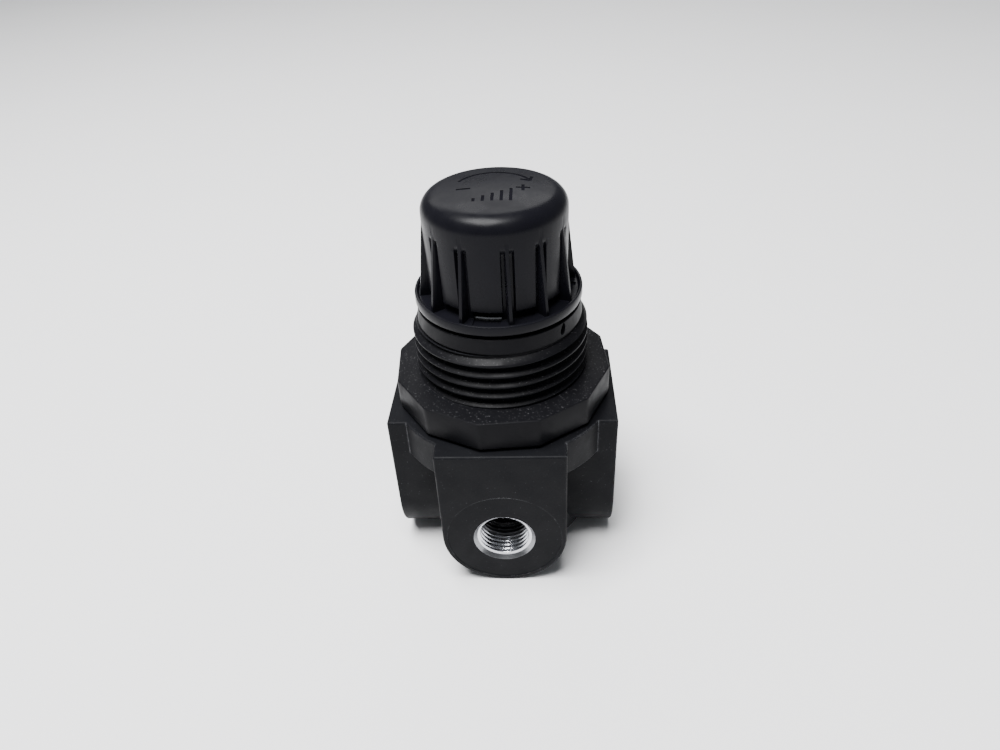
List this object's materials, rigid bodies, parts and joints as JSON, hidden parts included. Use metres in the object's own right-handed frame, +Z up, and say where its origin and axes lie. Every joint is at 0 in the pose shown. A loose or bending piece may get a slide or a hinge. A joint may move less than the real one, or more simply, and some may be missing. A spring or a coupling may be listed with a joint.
{
  "type": "air pressure regulator",
  "caption": "Miniature relieving air pressure regulator with a push-to-lock knob, a panel-mounting neck and a four-lobed body with threaded ports.",
  "frame": {"origin": "on the knob's axis, at the bottom of the body", "axes": "+Z up through the knob, -X inlet port, +X outlet port, -Y open gauge port"},
  "size_m": [0.04, 0.04, 0.0685],
  "materials": {
    "black_paint": "matte",
    "black_acetal": "satin",
    "black_knob": "semi-gloss",
    "brass": "machined",
    "steel": "machined",
    "spring_steel": "drawn wire",
    "rubber": "matte",
    "natural_acetal": "satin",
    "aluminium": "machined"
  },
  "bodies": {
    "housing": {"body": "black_paint", "bonnet": "black_acetal", "thrust_washer": "natural_acetal", "diaphragm": "rubber", "slip_ring": "natural_acetal", "valve_seat": "brass", "bottom_plug": "black_acetal", "bottom_plug_o_ring": "rubber", "gauge_port_plug": "steel"},
    "screw": {"adjusting_screw": "steel"},
    "knob_assembly": {"knob": "black_knob", "knob_retaining_ring": "spring_steel"},
    "nut": {"adjusting_nut": "brass", "range_spring": "spring_steel"},
    "diaphragm_stack": {"diaphragm_plate": "aluminium", "diaphragm_washer": "steel", "relief_seat": "brass"},
    "valve": {"valve_poppet": "brass", "valve_disc": "rubber", "valve_stem": "steel", "guide_o_ring": "rubber", "valve_spring": "spring_steel"}
  },
  "joints": [
    {"name": "adjust_turn", "type": "hinge", "parent": "housing", "child": "screw", "pos_m": [0, 0, 0.0462], "axis": [0, 0, -1], "range_deg": [0, 1440]},
    {"name": "knob_lock", "type": "slide", "parent": "screw", "child": "knob_assembly", "axis": [0, 0, 1], "range_m": [-0.00075, 0.0015]},
    {"name": "nut_travel", "type": "slide", "parent": "housing", "child": "nut", "axis": [0, 0, -1], "range_m": [0, 0.005], "deforming": ["range_spring"]},
    {"name": "diaphragm_stroke", "type": "slide", "parent": "housing", "child": "diaphragm_stack", "axis": [0, 0, -1], "range_m": [0, 0.001], "deforming": ["diaphragm"]},
    {"name": "valve_stroke", "type": "slide", "parent": "housing", "child": "valve", "axis": [0, 0, -1], "range_m": [0, 0.001], "deforming": ["valve_spring"]}
  ],
  "couplings": [
    {"joint": "adjust_turn", "follows": "nut_travel", "rad_per_m": 5026.5},
    {"joint": "valve_stroke", "follows": "diaphragm_stroke", "ratio": 1}
  ]
}
